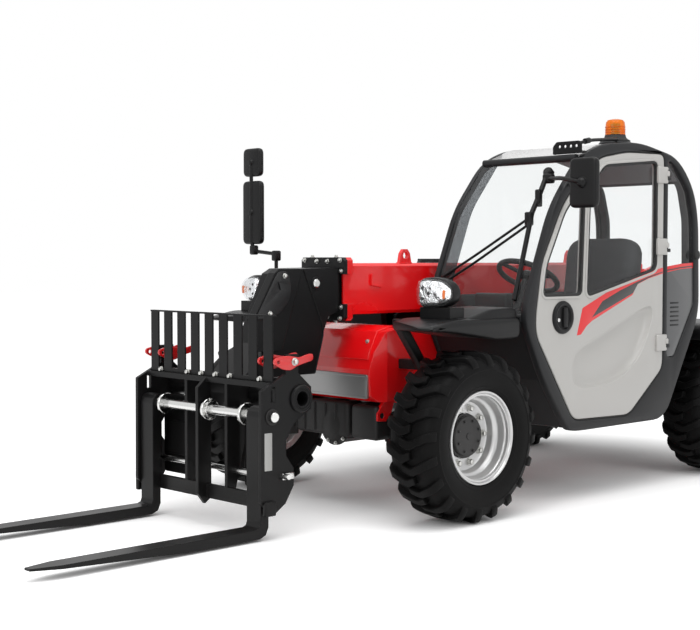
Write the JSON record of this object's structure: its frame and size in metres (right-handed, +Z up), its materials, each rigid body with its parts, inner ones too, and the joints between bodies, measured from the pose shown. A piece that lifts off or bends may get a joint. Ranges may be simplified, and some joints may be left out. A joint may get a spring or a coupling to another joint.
{
  "type": "telescopic handler",
  "caption": "Compact telescopic handler with side cab, telescoping boom, tilting fork carriage, steerable wheels, cab door and engine hood that open.",
  "frame": {"origin": "on the ground under the middle of the machine's bounding box", "axes": "+X forward along the boom towards the forks, +Y to the machine's left (cab side), +Z up"},
  "size_m": [5.09, 2.21, 2.042],
  "materials": {
    "tyre": "matte black rubber",
    "rim": "silver paint",
    "running_gear": "satin black paint",
    "red_paint": "gloss red paint",
    "black_paint": "satin black paint",
    "dark_grey": "satin dark grey paint",
    "light_grey": "satin light warm grey paint",
    "black_plastic": "grained black plastic",
    "clear_lamp": "clear lamp",
    "amber": "clear orange",
    "tinted_glass": "tinted glass",
    "bright_steel": "bright steel",
    "seat_cover": "dark seat cover",
    "mirror_body": "black plastic"
  },
  "bodies": {
    "chassis": {"main_frame": "red_paint", "front_cowl": "red_paint", "counterweight": "dark_grey", "front_axle": "running_gear", "rear_axle": "running_gear", "cab_left": "dark_grey", "cab_right": "dark_grey", "cab_floor": "dark_grey", "cab_rear": "dark_grey", "cab_roof": "dark_grey", "cab_glass": "tinted_glass", "seat": "seat_cover", "console": "black_plastic", "engine_tray": "dark_grey", "engine_block": "running_gear", "front_fenders": "black_plastic", "rear_fenders": "black_plastic", "lamp_brackets": "black_paint", "lamps": "clear_lamp", "left_mirror": "mirror_body", "right_mirrors": "mirror_body", "beacon": "amber"},
    "boom": {"outer_boom": "red_paint", "boom_pads": "black_plastic"},
    "telescope": {"inner_boom": "black_paint"},
    "levelling": {"carriage_pin": "black_paint"},
    "carriage": {"carriage_frame": "black_paint", "fork_shaft": "bright_steel", "fork_left": "black_paint", "fork_right": "black_paint", "load_guard": "black_paint", "latch_levers": "red_paint"},
    "door": {"door_panel": "light_grey", "door_glass": "tinted_glass", "door_handle": "black_plastic"},
    "hood": {"engine_hood": "dark_grey"},
    "lift_barrel": {"lift_barrel": "black_paint"},
    "lift_rod": {"lift_rod": "bright_steel"},
    "knuckle_front_left": {"knuckle_front_left": "running_gear"},
    "wheel_front_left": {"tyre_front_left": "tyre", "rim_front_left": "rim"},
    "knuckle_front_right": {"knuckle_front_right": "running_gear"},
    "wheel_front_right": {"tyre_front_right": "tyre", "rim_front_right": "rim"},
    "knuckle_rear_left": {"knuckle_rear_left": "running_gear"},
    "wheel_rear_left": {"tyre_rear_left": "tyre", "rim_rear_left": "rim"},
    "knuckle_rear_right": {"knuckle_rear_right": "running_gear"},
    "wheel_rear_right": {"tyre_rear_right": "tyre", "rim_rear_right": "rim"}
  },
  "joints": [
    {"name": "boom_lift", "type": "hinge", "parent": "chassis", "child": "boom", "pos_m": [-2.165, 0, 1.13], "axis": [0, -1, 0], "range_deg": [0, 65]},
    {"name": "boom_extend", "type": "slide", "parent": "boom", "child": "telescope", "axis": [1, 0, 0], "range_m": [0, 1.8]},
    {"name": "carriage_level", "type": "hinge", "parent": "telescope", "child": "levelling", "pos_m": [1.172, 0, 0.635], "axis": [0, 1, 0], "range_deg": [0, 65]},
    {"name": "carriage_tilt", "type": "hinge", "parent": "levelling", "child": "carriage", "pos_m": [1.172, 0, 0.635], "axis": [0, 1, 0], "range_deg": [-12, 52]},
    {"name": "door_swing", "type": "hinge", "parent": "chassis", "child": "door", "pos_m": [-1.223, 0.872, 1.14], "axis": [0, 0, 1], "range_deg": [0, 95]},
    {"name": "hood_lift", "type": "hinge", "parent": "chassis", "child": "hood", "pos_m": [-0.745, -0.181, 1.14], "axis": [-1, 0, 0], "range_deg": [0, 60]},
    {"name": "lift_barrel_swing", "type": "hinge", "parent": "chassis", "child": "lift_barrel", "pos_m": [-1.895, 0, 0.6], "axis": [0, -1, 0], "range_deg": [0, 52.1]},
    {"name": "lift_rod_slide", "type": "slide", "parent": "lift_barrel", "child": "lift_rod", "axis": [0.9131, 0, 0.4078], "range_m": [0, 0.592]},
    {"name": "steer_front_left", "type": "hinge", "parent": "chassis", "child": "knuckle_front_left", "pos_m": [0.355, 0.59, 0.415], "axis": [0, 0, 1], "range_deg": [-30, 30]},
    {"name": "wheel_front_left_spin", "type": "hinge", "parent": "knuckle_front_left", "child": "wheel_front_left", "pos_m": [0.355, 0.755, 0.415], "axis": [0, 1, 0], "continuous": true},
    {"name": "steer_front_right", "type": "hinge", "parent": "chassis", "child": "knuckle_front_right", "pos_m": [0.355, -0.59, 0.415], "axis": [0, 0, 1], "range_deg": [-30, 30]},
    {"name": "wheel_front_right_spin", "type": "hinge", "parent": "knuckle_front_right", "child": "wheel_front_right", "pos_m": [0.355, -0.755, 0.415], "axis": [0, 1, 0], "continuous": true},
    {"name": "steer_rear_left", "type": "hinge", "parent": "chassis", "child": "knuckle_rear_left", "pos_m": [-1.945, 0.59, 0.415], "axis": [0, 0, -1], "range_deg": [-30, 30]},
    {"name": "wheel_rear_left_spin", "type": "hinge", "parent": "knuckle_rear_left", "child": "wheel_rear_left", "pos_m": [-1.945, 0.755, 0.415], "axis": [0, 1, 0], "continuous": true},
    {"name": "steer_rear_right", "type": "hinge", "parent": "chassis", "child": "knuckle_rear_right", "pos_m": [-1.945, -0.59, 0.415], "axis": [0, 0, -1], "range_deg": [-30, 30]},
    {"name": "wheel_rear_right_spin", "type": "hinge", "parent": "knuckle_rear_right", "child": "wheel_rear_right", "pos_m": [-1.945, -0.755, 0.415], "axis": [0, 1, 0], "continuous": true}
  ],
  "couplings": [
    {"joint": "carriage_level", "follows": "boom_lift", "ratio": 1},
    {"joint": "lift_barrel_swing", "follows": "boom_lift", "ratio": 0.80154},
    {"joint": "lift_rod_slide", "follows": "boom_lift", "m_per_rad": 0.52146},
    {"joint": "steer_front_right", "follows": "steer_front_left", "ratio": 1},
    {"joint": "steer_rear_right", "follows": "steer_rear_left", "ratio": 1}
  ]
}
